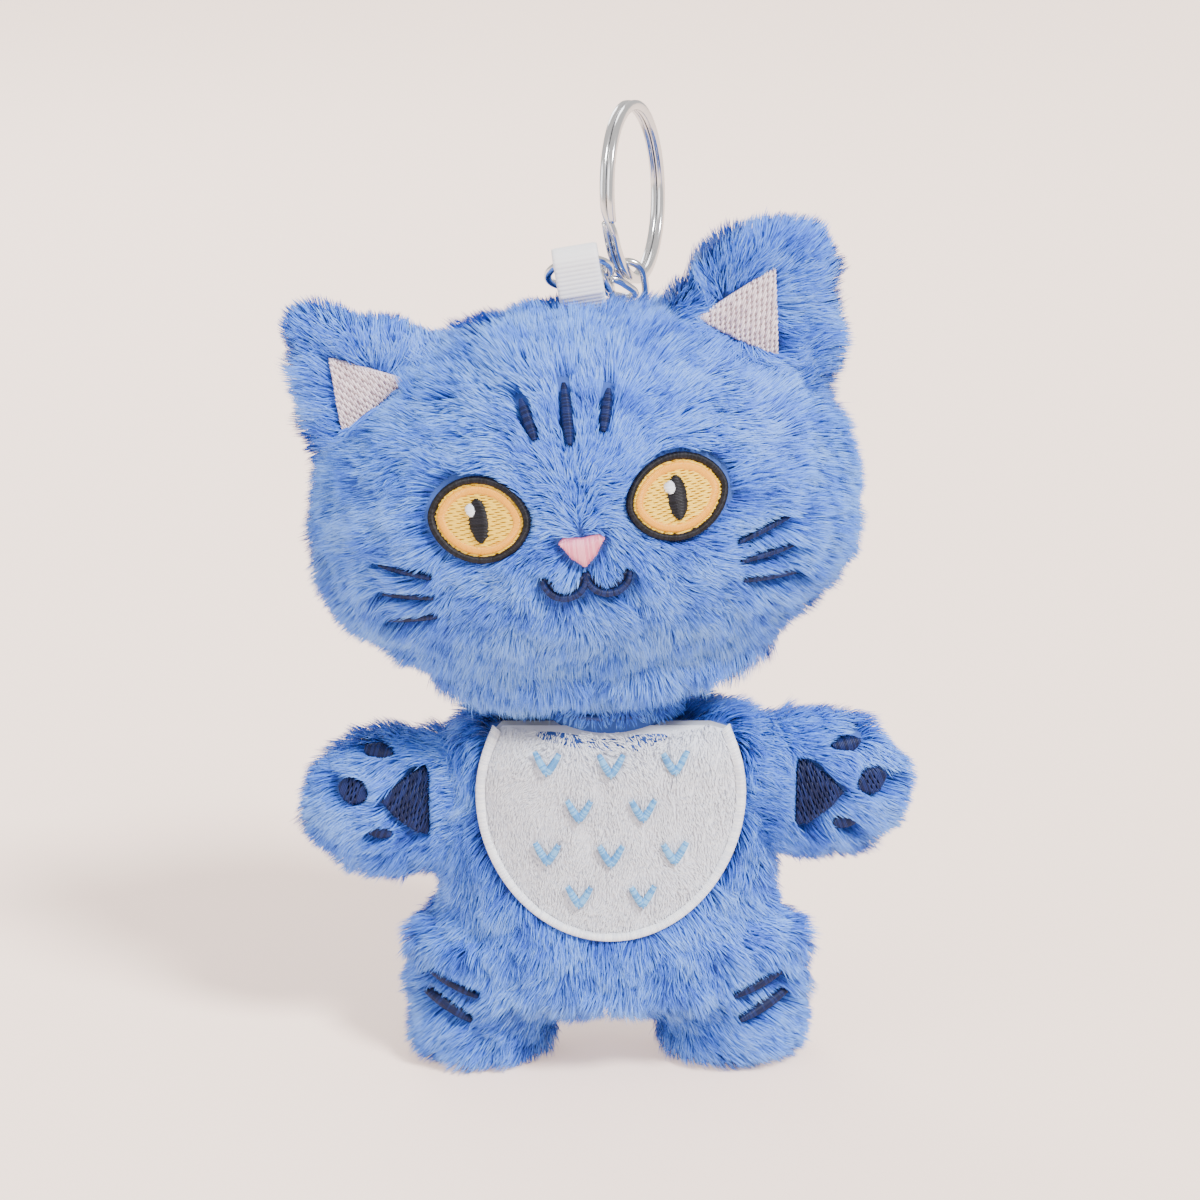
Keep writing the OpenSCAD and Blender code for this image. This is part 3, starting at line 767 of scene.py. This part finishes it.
def band(path, width, taper=1.0):
    """Outline of a strip of a width along a path, for masks and pads."""
    path = np.asarray(path, float)
    d = np.gradient(path, axis=0)
    n = np.stack([-d[:, 1], d[:, 0]], 1) / np.linalg.norm(d, axis=1, keepdims=True)
    w = width / 2 * np.ones(len(path))
    w[0] *= taper
    w[-1] *= taper
    return np.concatenate([path + n * w[:, None], (path - n * w[:, None])[::-1]])


def arc(cx, cz, r, start, end, n=12):
    t = np.radians(np.linspace(start, end, n))
    return np.stack([cx + r * np.cos(t), cz + r * np.sin(t)], 1)


def line(a, b, n=6):
    return np.stack([np.linspace(a[i], b[i], n) for i in (0, 1)], 1)


# Drawings on the face, in the head's own frame
EYE_X, EYE_Z = 12.2, 4.6
eyes = {s: oval(s * EYE_X, EYE_Z, 5.9, 4.9, power=1.15, tilt=s * 0.1) for s in BOTH}
NOSE_Z, MOUTH_Z = -0.6, -3.4
nose = np.array([[-2.8, 1.6], [-2.2, 2.0], [0, 1.7], [2.2, 2.0], [2.8, 1.6], [1.6, -0.4], [0, -1.8],
                 [-1.6, -0.4]]) + [0, NOSE_Z]
mouth_paths = [arc(s * 2.7, MOUTH_Z, 2.7, 180, 360) for s in BOTH]
whisker_paths = [line((s * 19.0, -5.0 + row * 2.6), (s * 25.5, -4.7 + row * 3.8))
                 for s in BOTH for row in (-1, 0, 1)]
stripe_paths = [line((c * 4.2, 12.5 + abs(c)), (c * 5.4, 19.2 - 1.2 * abs(c))) for c in (-1, 0, 1)]
face_masks = ([grown(eyes[s], 0.5) for s in BOTH] + [grown(nose, 0.2)]
              + [band(p, 1.15) for p in mouth_paths] + [band(p, 1.0) for p in whisker_paths]
              + [band(p, 1.4) for p in stripe_paths])
linings = {LEFT: LEFT_LINING, RIGHT: RIGHT_LINING}


def belly_outline():
    """The oval from its top left corner down and round to its top right one, kept inside the shoulders."""
    corner = math.degrees(math.asin((BELLY_TOP - BELLY_Z) / BELLY_HALF[1]))
    t = np.radians(np.linspace(180 - corner, 360 + corner, 90))
    x, z = BELLY_X + BELLY_HALF[0] * np.cos(t), BELLY_Z + BELLY_HALF[1] * np.sin(t)
    room = torso_half_width(z) - BELLY_INSET
    return np.stack([np.clip(x, -room, room), z], 1)


belly_edge = belly_outline()
PAD_MAIN = [[3.1, 0.2], [1.6, 2.0], [-1.4, 4.5], [-2.7, 4.9], [-3.1, 3.8], [-3.1, -3.6], [-2.7, -4.6],
            [-1.4, -4.2], [1.6, -1.7]]
PAD_TOES = [[3.4, 6.4, 1.9, 1.0], [6.8, 1.4, 1.9, 1.9], [3.3, -4.2, 1.5, 0.95]]
PAD_SHIFT = {LEFT: (-1.6, 1.2), RIGHT: (0.0, 0.0)}


def paw_outlines(side):
    dx, dz = PAD_SHIFT[side]
    cx, cz = side * ARM_X, SHOULDER_Z[side] - ARM_DROP + dz
    shapes = [np.array([[cx + side * (x + dx), cz + z] for x, z in PAD_MAIN])]
    shapes += [oval(cx + side * (x + dx), cz + z, a, b, n=24) for x, z, a, b in PAD_TOES]
    return shapes


paws = {s: paw_outlines(s) for s in BOTH}
leg_paths = {s: [line((s * (22.8 + 0.8 * row), 13.6 - 3.1 * row), (s * (16.6 + 0.8 * row), 11.2 - 3.4 * row))
                 for row in (0, 1)] for s in BOTH}
FRONT_FACING = -0.12   # a normal whose y is below this counts as looking forwards


def clear_of(shapes, to_flat=lambda p: p, cover=0.0):
    """Distance from the nearest drawing, whose edge may be covered a little, for points on a front."""
    def distance(points, normals):
        q = to_flat(points)
        best = np.full(len(points), 99.0)
        for s in shapes:
            c = s.mean(0)
            reach = np.abs(s - c).max() + 6
            near = (np.abs(q[:, 0] - c[0]) < reach) & (np.abs(q[:, 2] - c[1]) < reach)
            near &= normals[:, 1] < FRONT_FACING
            if near.any():
                best[near] = np.minimum(best[near], polygon_distance(q[near, 0], q[near, 2], s) + cover)
        return best
    return distance


def clear_of_lining(side):
    def distance(points, normals):
        q = world_to_head(points)
        d = polygon_distance(q[:, 0], q[:, 2], linings[side])
        return np.where(q[:, 1] < EAR_Y, d + LINING_COVER, 99.0)
    return distance


def nearest(*fields):
    return lambda points, normals: np.minimum.reduce([f(points, normals) for f in fields])


# ---- stuffed pieces and their pile ----

def padded_object(name, verts, quads, body, nodes):
    ob = quads_object(name, verts, quads, [backing], body)
    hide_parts(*nodes)


def covers(*parts):
    return [f"{part}_{face}_cover" for part in parts for face in ("front", "back")]


def head_field(p):
    q = world_to_head(p)
    d = head_distance(q)
    for s, outline in ((LEFT, LEFT_EAR), (RIGHT, RIGHT_EAR)):
        d = smooth_union(d, ear_distance(q, s, outline), 2.0)
    return d


def head_flow(roots):
    """The pile runs outwards from the middle of the face and down the back; on an ear it runs to the tip."""
    q = world_to_head(roots)
    out = np.stack([q[:, 0] * 1.1, -0.25 * np.ones(len(q)), q[:, 2] - 1.5], 1)
    out = unit(out) + np.array([0, 0, -0.35])
    back = np.stack([q[:, 0] * 0.03, np.zeros(len(q)), -np.ones(len(q))], 1)
    w = smooth_step((q[:, 1] - 2) / 10)[:, None]
    flow = out * (1 - w) + back * w
    chin = smooth_step((-13 - q[:, 2]) / 5)[:, None]
    flow = flow * (1 - chin) + np.array([0, 0, -1.0]) * chin
    for s in BOTH:
        mid = np.mean(linings[s], 0)
        near = smooth_step((np.abs(q[:, 0]) - 15) / 6) * smooth_step((q[:, 2] - 14) / 6)
        near = near * (np.sign(q[:, 0]) == s)
        away = unit(np.stack([q[:, 0] - mid[0], np.zeros(len(q)), q[:, 2] - mid[1]], 1)) + [s * 0.25, 0, 0.3]
        flow = flow * (1 - near[:, None]) + away * near[:, None]
    return head_dir(flow)


def torso_flow(roots):
    """Straight down, and outwards on the legs."""
    out = np.stack([roots[:, 0] * 0.02, np.zeros(len(roots)), -np.ones(len(roots))], 1)
    out[:, 0] += np.sign(roots[:, 0]) * 0.8 * smooth_step((17 - roots[:, 2]) / 8)
    return out


DENSITY = 17     # blades per square millimetre
WIDTH = 0.16
GRID = 0.8

head_skin = Skin(head_field, (-44, -27, 45), (40, 27, 116), GRID)
torso_skin = Skin(torso_distance, (-29, -19, -3), (29, 19, 50), GRID)
arm_skins = {s: Skin(lambda p, s=s: arm_distance(p, s), (min(s * 8, s * 42), -10, 24),
                     (max(s * 8, s * 42), 10, 50), GRID, depth=1.2) for s in BOTH}
ear_layers = [f"{name}_ear_{face}" for _, name in SIDES for face in ("front", "back")]
skins = [("head", head_skin, covers("head") + ear_layers, 0.8),
         ("torso", torso_skin, covers("torso", "left_leg", "right_leg"), 0.8),
         ("left_arm", arm_skins[LEFT], covers("left_arm"), 0.7),
         ("right_arm", arm_skins[RIGHT], covers("right_arm"), 0.7)]
for body, skin, nodes, fill_share in skins:
    skin.stuff()
    padded_object(f"{body}_skin", skin.verts, skin.quads, body, nodes)

head_clear = nearest(clear_of(face_masks, world_to_head), clear_of_lining(LEFT), clear_of_lining(RIGHT))
torso_clear = nearest(clear_of([belly_edge], cover=BORDER_COVER),
                      clear_of([band(p, 1.4) for s in BOTH for p in leg_paths[s]]))

# The pile is shorter on the face and the ears, and a little longer under the chin
roots, normals = head_skin.scatter(int(10600 * DENSITY), 101)
q = world_to_head(roots)
ears = smooth_step((q[:, 2] - 21) / 3)
face = smooth_step((-q[:, 1] - 8) / 8) * smooth_step((22 - np.abs(q[:, 0])) / 10)
chin = smooth_step((-14 - q[:, 2]) / 5)
length = 3.7 - 0.8 * face * (1 - chin) - 0.7 * ears + 0.3 * chin
grow_pile("head_pile", roots, normals, head_flow(roots), length, "head", head_clear, WIDTH, seed=1)

# None on the soles or above the belly's cloth, and shorter near the floor
roots, normals = torso_skin.scatter(int(6500 * DENSITY), 102)
under_chin = (roots[:, 2] > 45) & (np.abs(roots[:, 0] - BELLY_X) < 15.5) & (roots[:, 1] < -3)
keep = ((roots[:, 2] > 0.6) | (normals[:, 2] > -0.5)) & ~under_chin
roots, normals = roots[keep], normals[keep]
length = 3.6 - 1.4 * smooth_step((3.2 - roots[:, 2]) / 2.6)
grow_pile("torso_pile", roots, normals, torso_flow(roots), length, "torso", torso_clear, WIDTH, seed=2)

for side, name in SIDES:
    roots, normals = arm_skins[side].scatter(int(1500 * DENSITY), 103 + side)
    keep = np.abs(roots[:, 0]) > 15
    flow = np.tile([side * 0.9, 0, -0.45], (keep.sum(), 1))
    grow_pile(f"{name}_arm_pile", roots[keep], normals[keep], flow, 3.4, f"{name}_arm", clear_of(paws[side]),
              WIDTH, seed=4 + side)

# Neck: a short tube of cloth between torso and head, with a little pile
turn = np.linspace(0, TURN, 48, endpoint=False)
neck_rings = [np.stack([0.2 + r * np.cos(turn), r * 0.9 * np.sin(turn), np.full(48, z)], 1)
              for z, r in ((46.4, 8.8), (48.4, 9.2), (50.3, 9.4), (52.2, 9.2), (54.6, 8.8))]
padded_object("neck_skin", np.concatenate(neck_rings), grid_quads(len(neck_rings), 48, wrap=True), "neck",
              ["neck_stuffing"])
n = int(150 * DENSITY)
around, up = rng.uniform(0, TURN, n), rng.uniform(48.6, 53, n)
roots = np.stack([0.2 + 9.3 * np.cos(around), 8.4 * np.sin(around), up], 1)
normals = unit(np.stack([np.cos(around), np.sin(around), np.zeros(n)], 1))
grow_pile("neck_pile", roots, normals, np.tile([0, 0, -1.0], (n, 1)), 1.6, "neck", None, WIDTH, seed=9)


# ---- embroidery on each piece ----

for side, name in SIDES:
    eye = eyes[side]
    pupil = oval(side * EYE_X, EYE_Z, 1.35, 2.7, n=32)
    glint = oval(side * EYE_X - 0.75, EYE_Z + 1.35, 0.75, 0.75, n=20)
    layers = [(fill(grown(eye, -0.3), 0, 0.18, longest=2.2, seed=side + 5), [3], 0.0, 0.12),
              (satin(closed(grown(eye, -1.15)), 1.25, 0.18), [2], 0.1, 0.2),
              (fill(pupil, 0, 0.18, seed=side + 8), [0, 1], 0.26, PUFF),
              (fill(glint, 0, 0.17), [4, 5], 0.42, PUFF),
              (satin(closed(eye), 0.95, 0.16), [0, 1], 0.3, 0.3)]
    embroider(f"{name}_eye", on_head, layers, thread["black"] + thread["amber"] + thread["white"], "head",
              f"{name}_eye", [grown(eye, 0.2)], under=3)

embroider("nose", on_head, [(fill(nose, 90, 0.18, seed=11), [0, 1], 0.1, 0.35)], thread["nose"], "head",
          "nose", [nose])
embroider_navy("mouth", on_head, strokes(mouth_paths, 0.95, 0.35, taper=(0.5, 0.5)), "head", "mouth",
               [band(p, 0.8) for p in mouth_paths])
embroider_navy("whisker", on_head, strokes(whisker_paths, 0.8, 0.35, taper=(0.6, 0.3), slant=0.5), "head",
               "whiskers", [band(p, 0.55, 0.5) for p in whisker_paths])
embroider_navy("stripe", on_head, strokes(stripe_paths, 1.4, 0.35, taper=(0.35, 0.35)), "head",
               "forehead_stripes", [band(p, 1.0, 0.3) for p in stripe_paths])

for side, name in SIDES:
    rows = fill(linings[side], 90 - side * 28, 0.26, longest=2.0, seed=20 + side)
    embroider(f"{name}_ear", on_ear[side], [(rows, [0, 1], 0.0, 0.28)], thread["pink"], "head",
              f"{name}_ear_lining", [linings[side]], lift=-0.95, top=-1.0)
    pads = [(fill(outline, 20 * side + 90, 0.2, longest=3.2, seed=30 + side), [0, 1], 0.3, PUFF)
            for outline in paws[side]]
    embroider_navy(f"{name}_paw", on_arm[side], pads, f"{name}_arm", f"{name}_paw_pads", paws[side])
    embroider_navy(f"{name}_leg", on_leg[side], strokes(leg_paths[side], 1.3, 0.4, taper=(0.5, 0.5)), "torso",
                   f"{name}_leg_stripes", [band(p, 0.9, 0.6) for p in leg_paths[side]])

# Belly: an oval patch of short brushed cloth, its satin edge, and rows of small ticks
rings = 28
belly_mid = np.array([BELLY_X, BELLY_Z])
inner = grown(belly_edge, -0.5)
patch_verts = []
for i in range(rings):
    points, normals = on_torso(belly_mid + (inner - belly_mid) * max(i / (rings - 1), 0.01))
    patch_verts.append(points + normals * -0.75)
patch = quads_object("belly_cloth", np.concatenate(patch_verts), grid_quads(rings, len(inner), wrap=True),
                     [felt_mats[1]], "torso")
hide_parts("belly_patch")
n = int(700 * (22))
t, r0 = rng.uniform(0, TURN, n), np.sqrt(rng.uniform(0, 1, n)) * 0.97
flat = np.stack([BELLY_X + np.cos(t) * r0 * (BELLY_HALF[0] - 0.5),
                 BELLY_Z + np.sin(t) * r0 * (BELLY_HALF[1] - 0.5)], 1)
flat = flat[polygon_distance(flat[:, 0], flat[:, 1], belly_edge) < -0.4]
points, normals = on_torso(flat)
TICK, TICK_STEP = np.array([[-1.55, 1.3], [-0.8, -0.1], [0, -1.3], [0.8, -0.1], [1.55, 1.3]]), 8.2
tick_paths = [TICK + [BELLY_X + (i - (count - 1) / 2) * TICK_STEP, BELLY_Z + z]
              for count, z in BELLY_ROWS for i in range(count)]
down = np.tile([0, 0, -1.0], (len(flat), 1))
felt = grow_pile("belly_nap", points + normals * -0.78, normals, down, 0.85, "torso",
                 clear_of([band(p, 0.7) for p in tick_paths]), 0.13, lean=(55, 80),
                 per_clump=6, pull=(0.1, 0.4), seed=12, materials=felt_mats, shade_mid=0.6)

edge_layer = (satin(grown(belly_edge, -0.45)[1:-1], 1.15, 0.2), [0, 1], 0.12, 0.35)
embroider("belly_edge", on_torso, [edge_layer], thread["white"], "torso", "belly_border", [])
pad("belly_backing", on_torso, grown(belly_edge, -0.1), -0.85, PAD_BOTTOM, felt_mats[0], "torso")
embroider("belly_tick", on_torso, strokes(tick_paths, 1.0, 0.3, 0.3, taper=(0.6, 0.6)), thread["light_blue"],
          "torso", "belly_marks", [])


# ---- ribbon and ring ----

RIBBON_X, RIBBON_Z, RIBBON_LEAN = 3.2, 25.75, math.radians(2.5)
RIBBON_W, RIBBON_T, RIBBON_GAP, RIBBON_H = 5.7, 0.5, 3.2, 7.4
fold_r = RIBBON_GAP / 2 + RIBBON_T / 2
fold_z = RIBBON_H - RIBBON_GAP / 2 - RIBBON_T


def ribbon_to_world(p):
    return head_to_world(rot_y(p, -RIBBON_LEAN) + np.array([RIBBON_X, 0, RIBBON_Z]))


RIB_STEP = 0.55     # from one rib of the weave to the next
steps = RIB_STEP / 6
straight = np.arange(-1.2, fold_z, steps)
arc_t = np.linspace(0, math.pi, int(math.pi * fold_r / steps))
path = np.concatenate([
    np.stack([np.interp(straight, [-1.2, 1.5], [-0.35, -fold_r]), straight], 1),
    np.stack([-fold_r * np.cos(arc_t), fold_z + fold_r * np.sin(arc_t)], 1),
    np.stack([np.interp(straight[::-1], [-1.2, 1.5], [0.35, fold_r]), straight[::-1]], 1)])
run = np.concatenate([[0], np.cumsum(np.linalg.norm(np.diff(path, axis=0), axis=1))])
ahead = unit(np.gradient(path, axis=0))
out = np.stack([-ahead[:, 1], ahead[:, 0]], 1)
across = np.linspace(-1, 1, 15)
thickness = RIBBON_T / 2 * 0.72 + 0.06 * np.abs(np.sin(np.pi * run / RIB_STEP))
edge = np.where(np.abs(across) > 0.9, 0.5, 1.0)
ribbon_verts = []
for sign in (1, -1):
    depth = thickness[:, None] * edge[None, :] * sign
    y = path[:, 0][:, None] + out[:, 0][:, None] * depth
    z = path[:, 1][:, None] + out[:, 1][:, None] * depth
    x = np.broadcast_to(across * RIBBON_W / 2, y.shape)
    ribbon_verts.append(np.stack([x, y, z], -1).reshape(-1, 3))
m, k = len(path), len(across)
front = grid_quads(m, k)
back = front[:, ::-1] + m * k
rows = np.arange(m - 1)
left_edge = np.stack([rows * k, (rows + 1) * k, (rows + 1) * k + m * k, rows * k + m * k], 1)
right_edge = left_edge[:, ::-1] + (k - 1)
ribbon = quads_object("ribbon_weave", ribbon_to_world(np.concatenate(ribbon_verts)),
                      np.concatenate([front, back, left_edge, right_edge]), [ribbon_mat], "ribbon")
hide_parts("ribbon_loop")

SPLIT_MID, SPLIT_NORMAL = np.array([3.44, 14.68, 112.18]), unit(np.array([0.952, -0.298, 0.061]))
SPLIT_R, SPLIT_WIRE, SPLIT_TURN = 11.05, 1.3, 0.9
up_dir = unit(np.array([0, 0, 1.0]) - SPLIT_NORMAL * SPLIT_NORMAL[2])
side_dir = np.cross(SPLIT_NORMAL, up_dir)
JOG_SPAN = math.radians(24)
START = math.radians(101)   # where the outer end of the coil lies
turns = np.linspace(0, 4 * math.pi, 361)
angle = START + turns
shift = -0.5 + smooth_step((turns - TURN + JOG_SPAN / 2) / JOG_SPAN)
radial = np.cos(angle)[:, None] * up_dir + np.sin(angle)[:, None] * side_dir
centre = SPLIT_MID + SPLIT_NORMAL * (shift * SPLIT_TURN)[:, None] + SPLIT_R * radial
corner_t = np.linspace(0, TURN, 16, endpoint=False)
sx = np.sign(np.cos(corner_t)) * np.abs(np.cos(corner_t)) ** 0.55 * SPLIT_WIRE / 2
sy = np.sign(np.sin(corner_t)) * np.abs(np.sin(corner_t)) ** 0.55 * SPLIT_TURN / 2 * 0.96
ring_verts = centre[:, None] + radial[:, None] * sx[None, :, None] + SPLIT_NORMAL * sy[None, :, None]
m, k = len(centre), len(corner_t)
ring_quads = grid_quads(m, k, wrap=True)
ends = [m * k, m * k + 1]
ring_verts = np.concatenate([ring_verts.reshape(-1, 3), centre[:1], centre[-1:]])
caps = []
for jj in range(0, k, 2):
    caps.append([ends[0], jj, (jj + 1) % k, (jj + 2) % k])
    caps.append([ends[1], (m - 1) * k + (jj + 2) % k, (m - 1) * k + jj + 1, (m - 1) * k + jj])
ring_quads = np.concatenate([ring_quads[:, ::-1], np.array(caps)])
ring = quads_object("split_ring_coil", ring_verts, ring_quads, [steel], "split_ring")
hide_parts("split_ring")


# ---- CAD nodes that stay ----

def dress(node, mat):
    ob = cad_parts[node]
    ob.data.materials.clear()
    ob.data.materials.append(mat)


for node in ("jump_ring", "link_1", "link_2", "link_3"):
    dress(node, steel)
dress("ribbon_anchor", ribbon_mat)
dress("neck_thread", sewing)
for part in ("head", "torso", "left_arm", "right_arm", "left_leg", "right_leg"):
    dress(f"{part}_stuffing", stuffing_mat)


# ---- camera, light, floor ----

scene = bpy.context.scene
cam_data = bpy.data.cameras.new("camera")
cam_data.lens = 100
cam_data.sensor_width = 36
cam_data.clip_start, cam_data.clip_end = 0.01, 20
camera = new_object("camera", cam_data)
target = Vector((-0.0008, 0, 0.062))
elevation, distance = math.radians(16), 0.427
camera.location = target + Vector((0, -math.cos(elevation), math.sin(elevation))) * distance
camera.rotation_euler = (target - camera.location).to_track_quat("-Z", "Y").to_euler()
scene.camera = camera


def area_light(name, place, size, power, colour=(1, 1, 1)):
    data = bpy.data.lights.new(name, "AREA")
    data.size, data.energy, data.color = size, power, colour
    ob = new_object(name, data)
    ob.location = place
    ob.rotation_euler = (Vector((0, 0, 0.06)) - Vector(place)).to_track_quat("-Z", "Y").to_euler()


sun = bpy.data.lights.new("key", "SUN")
sun.energy, sun.angle, sun.color = 6.0, math.radians(14), (1, 0.985, 0.96)
key = new_object("key", sun)
key.rotation_euler = Vector((-0.55, 0.62, -0.9)).to_track_quat("-Z", "Y").to_euler()
area_light("fill", (-0.8, -0.6, 0.45), 0.7, 4, (0.97, 0.98, 1))
area_light("rim", (-0.35, 0.8, 0.7), 0.5, 4)


def camera_boost(tree, base, extra):
    """A strength that is higher only where the camera looks straight at the surface."""
    path, boost = tree.nodes.new("ShaderNodeLightPath"), tree.nodes.new("ShaderNodeMath")
    boost.operation = "MULTIPLY_ADD"
    tree.links.new(path.outputs["Is Camera Ray"], boost.inputs[0])
    boost.inputs[1].default_value, boost.inputs[2].default_value = extra, base
    return boost.outputs[0]


world = bpy.data.worlds.new("world")
scene.world = world
world.use_nodes = True
sky = world.node_tree.nodes["Background"].inputs
sky[0].default_value = (0.97, 0.93, 0.9, 1)
world.node_tree.links.new(camera_boost(world.node_tree, 0.95, 0.7), sky[1])

floor_mat = material("pale_floor", srgb(255, 232, 218), rough=0.85)
glow = floor_mat.node_tree.nodes["Principled BSDF"].inputs
glow["Emission Color"].default_value = (1, 0.74, 0.62, 1)
floor_mat.node_tree.links.new(camera_boost(floor_mat.node_tree, 0, 0.8), glow["Emission Strength"])
bpy.ops.mesh.primitive_plane_add(size=6, location=(0, 0, 0))
floor = bpy.context.object
floor.name = "floor"
floor.data.materials.append(floor_mat)
